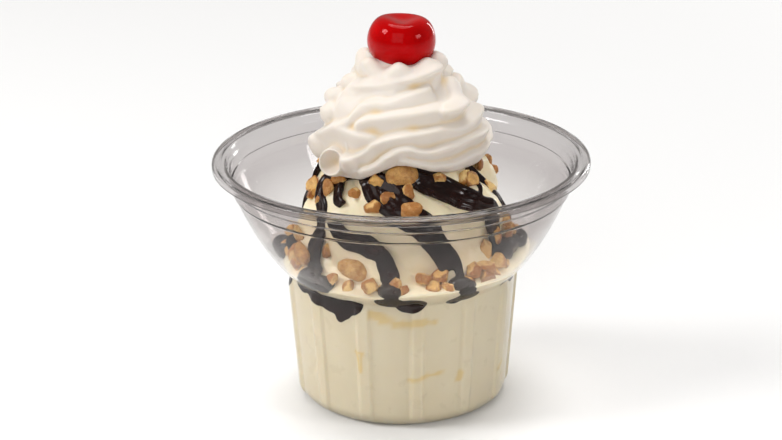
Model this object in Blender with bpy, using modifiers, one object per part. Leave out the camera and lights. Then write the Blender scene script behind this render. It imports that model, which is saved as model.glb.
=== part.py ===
"""Ice cream sundae in a clear ribbed cup: soft-serve, fudge, chopped peanuts, whipped cream, a cherry.

Sizes are millimetres until a vertex is made, where MM turns them into metres. Azimuths are degrees seen
from above: 0 faces the front, -Y, and 90 faces +X. The origin is the centre of the cup's base, +Z up.
"""

import math
import random

import bmesh
import bpy
from mathutils import Matrix, Vector, noise

MM = 0.001
GAP = 0.35

# The cup: a ribbed tube below, a flared bowl above it and a turned-down rim.
RIM_RADIUS = 58.0
CUP_HEIGHT = 77.0
WALL = 0.6
TUBE_FOOT_RADIUS = 32.4
TUBE_TOP_RADIUS = 35.1
TUBE_TOP_HEIGHT = 39.6
FOOT_FILLET = 5.0
FOOT_TURNS = ((-58, 0.0), (-28, 0.5), (0, 1.0))
NECK_RADIUS = 35.4
NECK_HEIGHT = 41.4
FLARE_BELLY = (44.9, 51.0)
RING_RADIUS = 51.2
RING_HEIGHT = 67.1
STEP_HEIGHTS = (70.5, 73.7)
STEP_RISE = 3.1
STEP_DEPTH = 0.65
STEP_DRAFT = 0.2
RIM_LIP = 1.6
RIB_COUNT = 13
RIB_HEIGHT = 0.75
RIB_CREST_DEGREES = 2.3
RIB_FOOT_DEGREES = 4.3
RIB_AZIMUTH = 7.4

# The soft-serve: it fills the tube and stands up in the bowl as a mound of twisted folds.
FILL_HEIGHT = 44.3
FILL_RISE = 1.5
FILL_RISE_AZIMUTH = 80.0
MOUND_TOP = 74.6
MOUND_PROFILE = (
    (36.0, 46.6),
    (33.6, 49.2),
    (31.6, 54.5),
    (30.4, 60.5),
    (29.0, 66.0),
    (27.2, 70.8),
    (24.4, 73.4),
    (12.0, MOUND_TOP),
)
FOLD_COUNT = 7
FOLD_DEPTH = 1.3
FOLD_TWIST_DEGREES = 2.1

# The fudge: strands down the mound as (thickness, (azimuth, height) places), then pools at its foot.
DRIZZLES = (
    (2.7, ((-66, 71.5), (-56, 73.0), (-44, 73.4), (-32, 73.2))),
    (2.6, ((-64, 71.5), (-58, 66), (-56, 57), (-51, 49))),
    (2.6, ((-52, 71.5), (-40, 64), (-20, 58), (-6, 50))),
    (2.1, ((-26, 73), (-2, 68.5), (14, 60.5), (26, 50))),
    (2.1, ((-8, 73), (13, 67.5), (22, 58), (30, 48))),
    (3.0, ((28, 73), (50, 68), (61, 59), (70, 48))),
    (2.2, ((66, 72.5), (76, 67), (86, 59), (90, 50))),
    (2.6, ((112, 73), (120, 66), (127, 58), (134, 49))),
    (2.2, ((148, 73), (143, 66), (150, 58), (158, 49))),
    (2.9, ((178, 73), (186, 67), (196, 59), (204, 50))),
    (2.2, ((222, 73), (229, 66), (232, 58), (238, 49))),
    (2.6, ((258, 73), (262, 66), (268, 58), (272, 50))),
)
DRIZZLE_STEPS = 7
POOLS = (
    (-72, 51.6, 3.7),
    (-40, 47.0, 4.6),
    (0, 46.8, 5.0),
    (30, 47.2, 4.4),
    (68, 50.4, 5.4),
    (92, 49.4, 4.6),
    (132, 48.4, 5.0),
    (203, 47.4, 5.0),
    (268, 47.0, 5.0),
)
POOL_FLATNESS = 0.6

# The chopped peanuts, as how many lie between two heights: at the mound's foot, then below the cream.
PEANUT_SEED = 11
PEANUT_BANDS = ((31, 45.5, 49.5), (12, 63.0, 70.0))
PEANUT_LENGTH = (4.6, 8.2)
PEANUT_TURN_DEGREES = 137.5

# The whipped cream: a star-piped rope wound in a rising coil. At each half turn: how far out it reaches
# without its ridges, its centre's height, and half its width and height.
CREAM_BASE = 75.4
CREAM_START_AZIMUTH = 110.0
CREAM_COURSE = (
    (24.4, 79.6, 9.0, 6.8),
    (26.0, 79.0, 9.6, 6.9),
    (25.8, 83.6, 9.4, 6.8),
    (24.0, 89.2, 8.8, 6.5),
    (21.8, 93.6, 8.0, 6.0),
    (18.8, 98.0, 7.0, 5.6),
    (16.0, 101.8, 6.0, 5.0),
    (13.4, 103.6, 5.2, 4.4),
    (12.4, 106.0, 4.0, 3.8),
)
CREAM_RIDGES = 6
CREAM_RIDGE_DEPTH = 0.16
CREAM_TWIST_TURNS = -3.0
CREAM_WAVE_DEPTH = 1.5
CREAM_WAVE_LENGTH = 13.0
CREAM_WAVE_SEED = 4
CREAM_CORE = ((15.5, 74.0), (15.0, 86.0), (11.0, 96.0), (6.0, 105.0))
CREAM_SECTIONS = 160
CREAM_SIDES = 36
CREAM_VOXEL = 0.8
CREAM_DECIMATE = 0.075

# The cherry, sunk in the top of the cream.
CHERRY_RADIUS = 10.35
CHERRY_HALF_HEIGHT = 8.9
CHERRY_CENTRE = (0.4, 0.0, 113.2)
CHERRY_DIMPLE = 1.7
CHERRY_DIMPLE_WIDTH = 0.42
CHERRY_TILT_DEGREES = (-7, 4)


def clear_scene():
    for obj in list(bpy.data.objects):
        bpy.data.objects.remove(obj, do_unlink=True)


def new_collection(name):
    collection = bpy.data.collections.new(name)
    bpy.context.scene.collection.children.link(collection)
    return collection


def finish_material(name, colour, roughness, transmission=0.0):
    material = bpy.data.materials.new(name)
    material.use_nodes = True
    shader = material.node_tree.nodes["Principled BSDF"]
    shader.inputs["Base Color"].default_value = (*colour, 1.0)
    shader.inputs["Roughness"].default_value = roughness
    shader.inputs["Metallic"].default_value = 0.0
    shader.inputs["Transmission Weight"].default_value = transmission
    return material


def at(azimuth, radius, height):
    """The point at this azimuth, radius and height."""
    angle = math.radians(azimuth)
    return Vector((radius * math.sin(angle), -radius * math.cos(angle), height))


def smooth_path(places, count):
    """As many places as asked, read along a Catmull-Rom curve through a few chosen ones."""
    ends = [places[0], *places, places[-1]]
    path = []
    for step in range(count):
        place = step / (count - 1) * (len(places) - 1)
        index = min(int(place), len(places) - 2)
        t = place - index
        weights = (
            -t + 2 * t ** 2 - t ** 3,
            2 - 5 * t ** 2 + 3 * t ** 3,
            t + 4 * t ** 2 - 3 * t ** 3,
            -t ** 2 + t ** 3,
        )
        near = ends[index:index + 4]
        path.append(tuple(sum(w * value for w, value in zip(weights, row)) / 2 for row in zip(*near)))
    return path


def add_object(name, bm, material, collection):
    mesh = bpy.data.meshes.new(name)
    bm.to_mesh(mesh)
    bm.free()
    mesh.materials.append(material)
    obj = bpy.data.objects.new(name, mesh)
    collection.objects.link(obj)
    return obj


def loft(rings):
    """A closed skin through rings of equal length, each end closed on the ring's own centre."""
    bm = bmesh.new()
    rows = [[bm.verts.new(point * MM) for point in ring] for ring in rings]
    for low, high in zip(rows, rows[1:]):
        for here, there in zip(range(len(low)), [*range(1, len(low)), 0]):
            bm.faces.new((low[here], low[there], high[there], high[here]))
    for row in (rows[0], rows[-1]):
        centre = bm.verts.new(sum((v.co for v in row), Vector()) / len(row))
        for here, there in zip(row, row[1:] + row[:1]):
            bm.faces.new((centre, there, here) if row is rows[0] else (centre, here, there))
    bmesh.ops.recalc_face_normals(bm, faces=bm.faces)
    return bm


def flare_points(count):
    """Places on the bowl's curved wall, from just above the neck to its upper ring."""
    low = Vector((NECK_RADIUS, NECK_HEIGHT))
    belly = Vector(FLARE_BELLY)
    high = Vector((RING_RADIUS, RING_HEIGHT))
    shares = [(i + 1) / count for i in range(count)]
    return [tuple((1 - t) ** 2 * low + 2 * t * (1 - t) * belly + t * t * high) for t in shares]


def cup_outside():
    """The cup's outer outline, base to rim, as (radius, height, share of the rib's height)."""
    foot_centre = TUBE_FOOT_RADIUS - FOOT_FILLET
    outline = [(foot_centre, 0.0, 0.0)]
    for angle, rib in FOOT_TURNS:
        turn = math.radians(angle)
        radius = foot_centre + FOOT_FILLET * math.cos(turn)
        outline.append((radius, FOOT_FILLET * (1 + math.sin(turn)), rib))
    outline.append((TUBE_TOP_RADIUS, TUBE_TOP_HEIGHT, 1.0))
    outline.append((NECK_RADIUS, NECK_HEIGHT, 0.0))
    outline += [(radius, height, 0.0) for radius, height in flare_points(3)]
    radius = RING_RADIUS + STEP_DEPTH
    for height in STEP_HEIGHTS:
        outline.append((radius, height - STEP_RISE, 0.0))
        outline.append((radius + STEP_DRAFT, height, 0.0))
        radius += STEP_DEPTH + STEP_DRAFT
    flange = CUP_HEIGHT - WALL
    lip = RIM_RADIUS - WALL
    outline.append((radius - STEP_DRAFT / 2, STEP_HEIGHTS[-1] + 0.4, 0.0))
    outline.append((radius, flange - 0.4, 0.0))
    outline.append((lip - 0.5, flange, 0.0))
    outline.append((lip, flange - RIM_LIP, 0.0))
    return outline


def inside_of(outline, thickness):
    """The outline moved inwards by a thickness, along the bisector at each of its points."""
    moved = []
    for i, (radius, height, rib) in enumerate(outline):
        before = outline[max(i - 1, 0)]
        after = outline[min(i + 1, len(outline) - 1)]
        first = Vector((radius - before[0], height - before[1]))
        second = Vector((after[0] - radius, after[1] - height))
        first = first if first.length else Vector((1, 0))
        second = second if second.length else first
        normals = [Vector((-side.y, side.x)).normalized() for side in (first, second)]
        bisector = (normals[0] + normals[1]).normalized()
        reach = thickness / max(bisector.dot(normals[0]), 0.5)
        moved.append((radius + bisector.x * reach, height + bisector.y * reach, rib))
    return moved


def rib_azimuths():
    """Every azimuth that the ribs need, each with its share of the rib's height."""
    pitch = 360 / RIB_COUNT
    turns = (-RIB_FOOT_DEGREES, -RIB_CREST_DEGREES, RIB_CREST_DEGREES, RIB_FOOT_DEGREES, pitch / 2)
    shares = (0, 1, 1, 0, 0)
    centres = [RIB_AZIMUTH + rib * pitch for rib in range(RIB_COUNT)]
    return [(centre + turn, share) for centre in centres for turn, share in zip(turns, shares)]


def ribbed_ring(radius, height, rib_share):
    """A level ring that steps out by the rib's height, times rib_share, wherever there is a rib."""
    rib = RIB_HEIGHT * rib_share
    return [at(azimuth, radius + rib * share, height) for azimuth, share in rib_azimuths()]


def make_cup(collection):
    outside = cup_outside()
    inside = inside_of(outside, WALL)
    rings = [ribbed_ring(*place) for place in outside + inside[::-1]]
    plastic = finish_material("clear_plastic", (0.9, 0.9, 0.9), 0.05, 1.0)
    return add_object("cup", loft(rings), plastic, collection)


def bowl_radius(height):
    """How far out food may reach at this height: the cup's inner wall less the gap."""
    inner = inside_of(cup_outside(), WALL + GAP)
    for low, high in zip(inner, inner[1:]):
        if low[1] <= height <= high[1] and high[1] > low[1]:
            share = (height - low[1]) / (high[1] - low[1])
            return low[0] + share * (high[0] - low[0])
    return inner[-4][0]


def fold(azimuth, height):
    """How far a twisted fold of the mound stands out at this place, from -1 to 1."""
    turn = math.radians(azimuth + FOLD_TWIST_DEGREES * (height - FILL_HEIGHT))
    return math.cos(FOLD_COUNT * turn + 0.8 * math.sin(2 * turn + 1.0))


def mound_radius(azimuth, height):
    """The mound's own radius above the fill level, folds included."""
    profile = ((bowl_radius(FILL_HEIGHT), FILL_HEIGHT), *MOUND_PROFILE)
    height = min(max(height, FILL_HEIGHT), MOUND_TOP)
    for (low_radius, low), (high_radius, high) in zip(profile, profile[1:]):
        if height <= high:
            share = (height - low) / (high - low)
            radius = low_radius + share * (high_radius - low_radius)
            break
    rise = min((height - FILL_HEIGHT) / 6, 1.0)
    fall = min((MOUND_TOP - height) / 4, 1.0)
    return radius + FOLD_DEPTH * rise * fall * fold(azimuth, height)


def fill_level(azimuth):
    """The food's level against the bowl's wall, a little higher on one side."""
    return FILL_HEIGHT + FILL_RISE * (1 + math.cos(math.radians(azimuth - FILL_RISE_AZIMUTH)))


def soft_serve_core(collection, material):
    """The soft-serve with nothing on it: the tube's filling and the mound in one skin."""
    inner = [place for place in inside_of(cup_outside(), WALL + GAP) if place[1] < NECK_HEIGHT + 1.5]
    rings = [ribbed_ring(*place) for place in inner]
    azimuths = [azimuth for azimuth, _ in rib_azimuths()]
    rings.append([at(a, bowl_radius(fill_level(a)), fill_level(a)) for a in azimuths])
    for radius, height in MOUND_PROFILE:
        lift = max(0.0, (MOUND_TOP - height) / (MOUND_TOP - FILL_HEIGHT)) ** 4
        ring = []
        for azimuth in azimuths:
            raised = height + lift * (fill_level(azimuth) - FILL_HEIGHT)
            reach = mound_radius(azimuth, raised) if height < MOUND_TOP else radius
            ring.append(at(azimuth, reach, raised))
        rings.append(ring)
    return add_object("ice_cream", loft(rings), material, collection)


def make_drizzle(index, thickness, places, material, collection):
    """A strand of fudge half sunk in the mound, as a bevelled curve turned into a mesh."""
    data = bpy.data.curves.new(f"drizzle_{index}", "CURVE")
    data.dimensions = "3D"
    data.bevel_depth = thickness * MM
    data.bevel_resolution = 1
    data.use_fill_caps = True
    spline = data.splines.new("POLY")
    path = smooth_path(places, DRIZZLE_STEPS)
    spline.points.add(len(path) - 1)
    for point, (azimuth, height) in zip(spline.points, path):
        height = min(max(height, fill_level(azimuth) + 1.2), CREAM_BASE - GAP - thickness)
        outermost = bowl_radius(height) - thickness - 0.4
        radius = min(mound_radius(azimuth, height) - 0.2 * thickness, outermost)
        point.co = (*(at(azimuth, radius, height) * MM), 1.0)
    curve = bpy.data.objects.new(data.name, data)
    collection.objects.link(curve)
    bpy.context.view_layer.update()
    graph = bpy.context.evaluated_depsgraph_get()
    mesh = bpy.data.meshes.new_from_object(curve.evaluated_get(graph))
    bm = bmesh.new()
    bm.from_mesh(mesh)
    bmesh.ops.remove_doubles(bm, verts=bm.verts, dist=0.00001)
    bpy.data.objects.remove(curve)
    bpy.data.meshes.remove(mesh)
    return add_object(f"strand_{index}", bm, material, collection)


def make_pool(index, azimuth, height, size, material, collection):
    """A rounded pool of fudge on the fill, against the foot of the mound."""
    bm = bmesh.new()
    bmesh.ops.create_icosphere(bm, subdivisions=2, radius=size * MM)
    bmesh.ops.scale(bm, vec=(1, 1, POOL_FLATNESS), verts=bm.verts)
    radius = min(mound_radius(azimuth, height) + 0.3 * size, bowl_radius(height) - size - 0.2)
    bmesh.ops.translate(bm, vec=at(azimuth, radius, height) * MM, verts=bm.verts)
    return add_object(f"pool_{index}", bm, material, collection)


def peanut_mesh(rng, length):
    """A chopped piece of peanut: a lumpy, slightly flattened grain about its own centre."""
    bm = bmesh.new()
    bmesh.ops.create_icosphere(bm, subdivisions=1, radius=0.5)
    sides = Vector((length, length * rng.uniform(0.6, 0.85), length * rng.uniform(0.45, 0.65)))
    for vertex in bm.verts:
        jitter = rng.uniform(0.86, 1.08)
        vertex.co = Vector([c * side * jitter for c, side in zip(vertex.co, sides)])
    spin = Matrix.Rotation(rng.uniform(0, math.tau), 4, "Z")
    tilt = Matrix.Rotation(rng.uniform(-0.5, 0.5), 4, "X")
    bmesh.ops.transform(bm, matrix=spin @ tilt, verts=bm.verts)
    return bm


def place_peanut(bm, azimuth, height, length):
    """Lays a piece flat on the mound or the fill, and says whether it is clear of cup and cream."""
    on_fill = height < fill_level(azimuth) + 4.0
    radius = mound_radius(azimuth, height) + (0.1 if on_fill else 0.12) * length
    radius = min(radius, bowl_radius(height) - 0.42 * length)
    outward = at(azimuth, 1.0, 0.0).normalized()
    lean = outward.lerp(Vector((0, 0, 1)), 0.6 if on_fill else 0.15).normalized()
    turn = lean.to_track_quat("Z", "Y").to_matrix()
    centre = at(azimuth, radius, height)
    for vertex in bm.verts:
        vertex.co = (turn @ vertex.co + centre) * MM
    points = [vertex.co / MM for vertex in bm.verts]
    clear_of_cup = all(math.hypot(p.x, p.y) < bowl_radius(p.z) - 0.1 for p in points)
    clear_of_cream = all(p.z < CREAM_BASE - 1.0 for p in points)
    return clear_of_cup and clear_of_cream


def make_peanuts(material, collection):
    """The chopped peanuts, spread evenly: most round the mound's foot and some below the cream."""
    rng = random.Random(PEANUT_SEED)
    made = []
    for count, low, high in PEANUT_BANDS:
        for index in range(count):
            azimuth = (index * PEANUT_TURN_DEGREES + rng.uniform(-6, 6)) % 360
            height = rng.uniform(low, high)
            if low < FILL_HEIGHT + 3:
                height += fill_level(azimuth) - FILL_HEIGHT
            length = rng.uniform(*PEANUT_LENGTH)
            bm = peanut_mesh(rng, length)
            if place_peanut(bm, azimuth, height, length):
                made.append(add_object(f"peanut_{len(made)}", bm, material, collection))
            else:
                bm.free()
    return made


def drop_scraps(mesh):
    """Keeps the mesh's largest connected piece, and drops any loose scrap that the union left."""
    bm = bmesh.new()
    bm.from_mesh(mesh)
    unseen = set(bm.verts)
    pieces = []
    while unseen:
        piece, edge = set(), [unseen.pop()]
        while edge:
            vertex = edge.pop()
            piece.add(vertex)
            near = {e.other_vert(vertex) for e in vertex.link_edges} & unseen
            unseen -= near
            edge += near
        pieces.append(piece)
    pieces.sort(key=len, reverse=True)
    bmesh.ops.delete(bm, geom=[v for piece in pieces[1:] for v in piece], context="VERTS")
    bm.to_mesh(mesh)
    bm.free()


def join_toppings(core, toppings, solver):
    """One union of the core with all that lies on it. The separate toppings are then removed."""
    union = core.modifiers.new("toppings", "BOOLEAN")
    union.operation = "UNION"
    union.solver = solver
    union.operand_type = "COLLECTION"
    union.collection = toppings
    bpy.context.view_layer.update()
    graph = bpy.context.evaluated_depsgraph_get()
    joined = bpy.data.meshes.new_from_object(core.evaluated_get(graph))
    core.modifiers.clear()
    drop_scraps(joined)
    core.data = joined
    for obj in list(toppings.objects):
        bpy.data.objects.remove(obj, do_unlink=True)


def make_ice_cream(collection):
    vanilla = finish_material("vanilla_soft_serve", (0.93, 0.87, 0.72), 0.35)
    fudge = finish_material("hot_fudge", (0.03, 0.012, 0.008), 0.12)
    nut = finish_material("chopped_peanut", (0.75, 0.48, 0.2), 0.5)
    core = soft_serve_core(collection, vanilla)
    toppings = new_collection("toppings")
    for index, (thickness, places) in enumerate(DRIZZLES):
        make_drizzle(index, thickness, places, fudge, toppings)
    for index, (azimuth, height, size) in enumerate(POOLS):
        make_pool(index, azimuth, height, size, fudge, toppings)
    make_peanuts(nut, toppings)
    join_toppings(core, toppings, "MANIFOLD")
    return core


def cream_rings():
    """The piped rope's star-shaped sections, from its start under the coil to its end at the cherry."""
    noise.seed_set(CREAM_WAVE_SEED)
    half_turns = len(CREAM_COURSE) - 1
    rings = []
    for step, course in enumerate(smooth_path(CREAM_COURSE, CREAM_SECTIONS)):
        reach, height, half_width, half_height = course
        share = step / (CREAM_SECTIONS - 1)
        azimuth = CREAM_START_AZIMUTH + 180 * half_turns * share
        taper = min(1.0, 0.62 + 7 * share, 0.3 + 9 * (1 - share))
        centre = at(azimuth, reach - half_width, height)
        outward = at(azimuth, 1.0, 0.0)
        ring = []
        for side in range(CREAM_SIDES):
            turn = math.tau * side / CREAM_SIDES
            twist = math.pi * CREAM_TWIST_TURNS * share * half_turns
            ridge = 2 * abs(math.cos((CREAM_RIDGES * turn + twist) / 2)) ** 0.8 - 1
            swell = taper * (1 + CREAM_RIDGE_DEPTH * ridge)
            point = centre + outward * (half_width * swell * math.cos(turn))
            point.z += half_height * swell * math.sin(turn)
            ring.append(point + CREAM_WAVE_DEPTH * noise.noise_vector(point / CREAM_WAVE_LENGTH))
        rings.append(ring)
    return rings


def cream_core(bm):
    """A filling cone inside the coil, so that the cream is solid through."""
    rings = [[at(15 * step, radius, height) for step in range(24)] for radius, height in CREAM_CORE]
    core = loft(rings)
    filling = bpy.data.meshes.new("cream_filling")
    core.to_mesh(filling)
    core.free()
    bm.from_mesh(filling)
    bpy.data.meshes.remove(filling)


def cherry_mesh(extra):
    """A round fruit with a dimple where its stem was, larger all round by extra."""
    bm = bmesh.new()
    bmesh.ops.create_uvsphere(bm, u_segments=20, v_segments=10, radius=1.0)
    for vertex in bm.verts:
        across = math.hypot(vertex.co.x, vertex.co.y) / CHERRY_DIMPLE_WIDTH
        dimple = CHERRY_DIMPLE * math.exp(-(across ** 2)) if vertex.co.z > 0 else 0.0
        height = vertex.co.z * (CHERRY_HALF_HEIGHT + extra) - dimple
        swell = (CHERRY_RADIUS + extra) * (1 + 0.03 * vertex.co.z)
        vertex.co = Vector((vertex.co.x * swell, vertex.co.y * swell, height))
    lean, roll = (math.radians(angle) for angle in CHERRY_TILT_DEGREES)
    tilt = Matrix.Rotation(lean, 4, "X") @ Matrix.Rotation(roll, 4, "Y")
    place = Matrix.Translation(CHERRY_CENTRE) @ tilt
    for vertex in bm.verts:
        vertex.co = (place @ vertex.co) * MM
    return bm


def add_cut(obj, cutter):
    cut = obj.modifiers.new(cutter.name, "BOOLEAN")
    cut.operation = "DIFFERENCE"
    cut.solver = "EXACT"
    cut.object = cutter
    cutter.hide_render = True
    cutter.display_type = "WIRE"


def make_whipped_cream(collection, cutters):
    cream = finish_material("whipped_cream", (0.96, 0.93, 0.87), 0.5)
    bm = loft(cream_rings())
    cream_core(bm)
    obj = add_object("whipped_cream", bm, cream, collection)
    remesh = obj.modifiers.new("fuse_turns", "REMESH")
    remesh.mode = "VOXEL"
    remesh.voxel_size = CREAM_VOXEL * MM
    decimate = obj.modifiers.new("fewer_faces", "DECIMATE")
    decimate.ratio = CREAM_DECIMATE
    foot = bmesh.new()
    bmesh.ops.create_cube(foot, size=1.0)
    bmesh.ops.scale(foot, vec=Vector((90, 90, 20)) * MM, verts=foot.verts)
    bmesh.ops.translate(foot, vec=Vector((0, 0, CREAM_BASE - 10)) * MM, verts=foot.verts)
    add_cut(obj, add_object("cream_foot_cutter", foot, cream, cutters))
    add_cut(obj, add_object("cherry_seat_cutter", cherry_mesh(GAP), cream, cutters))
    return obj


def make_cherry(collection):
    red = finish_material("cherry_red", (0.6, 0.0, 0.01), 0.08)
    cherry = add_object("cherry", cherry_mesh(0.0), red, collection)
    cherry.data.shade_smooth()
    return cherry


def main():
    clear_scene()
    sundae = new_collection("ice_cream_sundae")
    cutters = new_collection("cutters")
    make_cup(sundae)
    make_ice_cream(sundae)
    make_whipped_cream(sundae, cutters)
    make_cherry(sundae)


main()
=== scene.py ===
"""The look of the ice cream sundae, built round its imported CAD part.

Sizes are millimetres until a mesh is made. Azimuths are degrees seen from above: 0 faces the front, -Y,
and 90 faces +X.
"""

import math
import random

import bmesh
import bpy
import numpy as np
from mathutils import Matrix, Vector, noise

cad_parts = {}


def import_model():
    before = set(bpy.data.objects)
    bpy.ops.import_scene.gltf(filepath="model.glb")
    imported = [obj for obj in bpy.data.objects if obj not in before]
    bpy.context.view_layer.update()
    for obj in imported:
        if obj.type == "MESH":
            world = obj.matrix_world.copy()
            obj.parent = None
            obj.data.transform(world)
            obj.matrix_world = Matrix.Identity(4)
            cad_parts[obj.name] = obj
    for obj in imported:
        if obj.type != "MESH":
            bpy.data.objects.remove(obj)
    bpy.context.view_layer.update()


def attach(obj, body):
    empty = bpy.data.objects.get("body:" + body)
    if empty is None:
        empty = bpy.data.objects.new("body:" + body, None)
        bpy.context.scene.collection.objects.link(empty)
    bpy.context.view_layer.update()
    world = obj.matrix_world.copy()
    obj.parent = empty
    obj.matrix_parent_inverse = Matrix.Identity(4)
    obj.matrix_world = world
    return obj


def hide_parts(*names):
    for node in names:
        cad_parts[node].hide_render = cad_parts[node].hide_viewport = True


MM = 0.001
NOISE_SEED = 4

# The cup.
WALL = 0.6
TUBE_FOOT_RADIUS = 32.4
TUBE_TOP_RADIUS = 35.1
TUBE_TOP_HEIGHT = 39.6
FOOT_FILLET = 5.0
NECK_RADIUS = 35.4
NECK_HEIGHT = 41.4
FLARE_BELLY = (44.9, 51.0)
RING_RADIUS = 51.2
RING_HEIGHT = 67.1
STEP_HEIGHTS = (70.5, 73.7)
STEP_RISE = 3.1
STEP_DEPTH = 0.65
STEP_DRAFT = 0.2
RIM_MIDLINE = (
    (53.2, 74.4),
    (53.4, 75.5),
    (53.8, 76.35),
    (54.5, 76.62),
    (55.15, 76.35),
    (55.65, 76.12),
    (56.15, 76.35),
    (56.8, 76.6),
    (57.35, 76.3),
    (57.5, 75.6),
    (57.5, 74.95),
)
RIB_COUNT = 13
RIB_HEIGHT = 0.75
RIB_AZIMUTH = 7.4
RIB_CREST = 2.0
RIB_FOOT = 4.6
RIB_OFFSETS = (0, 1.2, 2.0, 2.4, 2.8, 3.2, 3.6, 4.0, 4.6, 5.6, 7.2, 9.2, 11.6)

# How far inside the middle of the wall each filling reaches: both lie just within the plastic.
SERVE_DEPTH = 0.2
FUDGE_DEPTH = 0.1

# The soft-serve.
FILL_HEIGHT = 44.3
FILL_RISE = 1.5
FILL_RISE_AZIMUTH = 80.0
MOUND_TOP = 80.0
# The mound's outline, as (radius, height).
MOUND_PROFILE = (
    (37.4, 44.3),
    (36.0, 46.6),
    (33.6, 49.2),
    (31.6, 54.5),
    (30.4, 60.5),
    (29.0, 66.0),
    (27.2, 70.8),
    (25.4, 73.4),
    (24.4, 75.6),
    (23.2, 77.6),
    (21.0, 79.4),
    (12.0, 80.0),
)
# Streaks where the filling against the tube's wall is painted darker and yellower, painted shade of air
# pockets there: (azimuth, height) ends and a half thickness.
STREAKS = (
    (-15, 37.9, -3, 35.8, 1.3),
    (-3, 35.8, 17, 35.4, 1.0),
    (-24, 25.3, -21, 25.1, 0.5),
    (-24, 25.4, -22, 18.8, 0.4),
    (-21, 25.1, -22, 18.8, 0.4),
    (3, 16.6, 9, 16.8, 0.5),
    (9, 17.2, 21, 18.2, 0.7),
    (31, 15.0, 31.5, 16.8, 0.8),
    (62, 13.4, 66, 14.8, 0.9),
)
HIDDEN_STREAKS = 7
STREAK_SEED = 5
# Millimetres along the tube's wall for each degree.
TUBE_DEGREE = 0.57
FOLD_COUNT = 7
FOLD_DEPTH = 1.8
FOLD_TWIST_DEGREES = 2.1
# The mound's left shoulder is slimmer than its right one.
LEFT_SHOULDER = 3.2

# The fudge: each run as (half width, (azimuth, height) places). A wide run is made of several strands.
FUDGE_RUNS = (
    (2.9, ((-62, 73.4), (-54, 75.4), (-43, 77.0), (-32, 77.9), (-24, 77.2), (-19, 75.4))),
    (2.6, ((-63, 74.4), (-62, 68.9), (-57, 65.2), (-56, 60.6), (-56, 55.9), (-51, 50.2), (-44, 46.9))),
    (1.5, ((-54, 75.0), (-47, 70.6), (-41, 67.0))),
    (2.4, ((-44, 65.0), (-38, 61.8), (-30, 59.9), (-20, 58.4), (-12, 55.3), (-7, 51.5), (-6, 47.5))),
    (2.4, (
        (-22, 77.4), (-16, 73.0), (-8, 70.6), (-2, 68.5), (5, 65.9),
        (11, 62.9), (16, 59.2), (21, 55.3), (25, 51),
    )),
    (1.9, (
        (-20, 77.8), (-7, 75.6), (0, 72.5), (8, 69.5), (14, 67.6),
        (18, 65), (20, 61.3), (24, 56.9), (28, 53), (29, 48),
    )),
    (1.6, ((-20, 77.8), (-7, 76.7), (3, 76.0), (12, 77.6))),
    (3.9, (
        (6, 78.6), (17, 76.8), (29, 74.0), (40, 70.9), (51, 67.8),
        (60, 64.2), (62, 58.9), (68, 52.6), (71, 47.9),
    )),
    (1.9, ((57, 77.6), (65, 73.6), (73, 68.6), (81, 64.1), (85, 58.0), (82, 51.0))),
    (0.8, ((54, 77.0), (56, 73.6), (55, 69.8))),
    (2.6, ((106, 78), (114, 72), (120, 66), (127, 58), (132, 47.5))),
    (2.2, ((140, 78), (147, 72), (143, 66), (150, 58), (160, 47.5))),
    (3.4, ((168, 78), (178, 72), (186, 67), (196, 59), (203, 47.5))),
    (2.2, ((214, 78), (222, 72), (229, 66), (232, 58), (240, 47.5))),
    (2.8, ((250, 78), (258, 72), (262, 66), (268, 58), (270, 47.5))),
)
STRAND_RADIUS = 1.15
STRAND_SPACING = 1.8
STRAND_STEPS = 46
STRAND_SIDES = 12
FUDGE_VOXEL = 0.4
FUDGE_SEED = 7
# Pools at the mound's foot, as (azimuth, height, size).
FUDGE_POOLS = (
    (-72, 52.0, 3.9),
    (-48, 46.6, 4.6),
    (-38, 46.0, 4.6),
    (-7, 46.8, 3.8),
    (28, 46.6, 4.4),
    (66, 50.4, 5.2),
    (76, 50.0, 5.0),
    (92, 49.4, 4.6),
    (132, 47.6, 4.6),
    (160, 46.8, 3.8),
    (203, 46.8, 4.8),
    (240, 46.6, 3.8),
    (268, 47.0, 5.0),
)
# Fudge against the wall of the tube, as (azimuth, height, half width in degrees, half height).
WALL_POOLS = (
    (-79, 40.6, 6, 3.6),
    (-59, 42.4, 7, 3.0),
    (-52, 43.6, 8, 3.4),
    (-47, 41.0, 8, 3.8),
    (-38, 40.6, 8, 4.4),
    (-32.5, 38.2, 4, 4.2),
    (-25, 41.4, 6, 4.4),
    (-30, 39.6, 5, 4.4),
    (-6, 44.0, 7, 3.0),
    (4, 43.0, 8, 3.9),
    (26, 42.4, 5, 1.6),
    (32, 43.5, 7, 2.2),
    (60, 43.4, 6, 2.0),
    (74, 42.4, 7, 2.6),
    (128, 43.4, 8, 3.4),
    (138, 42.2, 6, 3.6),
    (160, 43.0, 7, 3.0),
    (203, 43.0, 9, 4.0),
    (213, 41.8, 6, 4.4),
    (242, 43.0, 7, 3.2),
    (267, 43.2, 8, 3.8),
)

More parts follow.
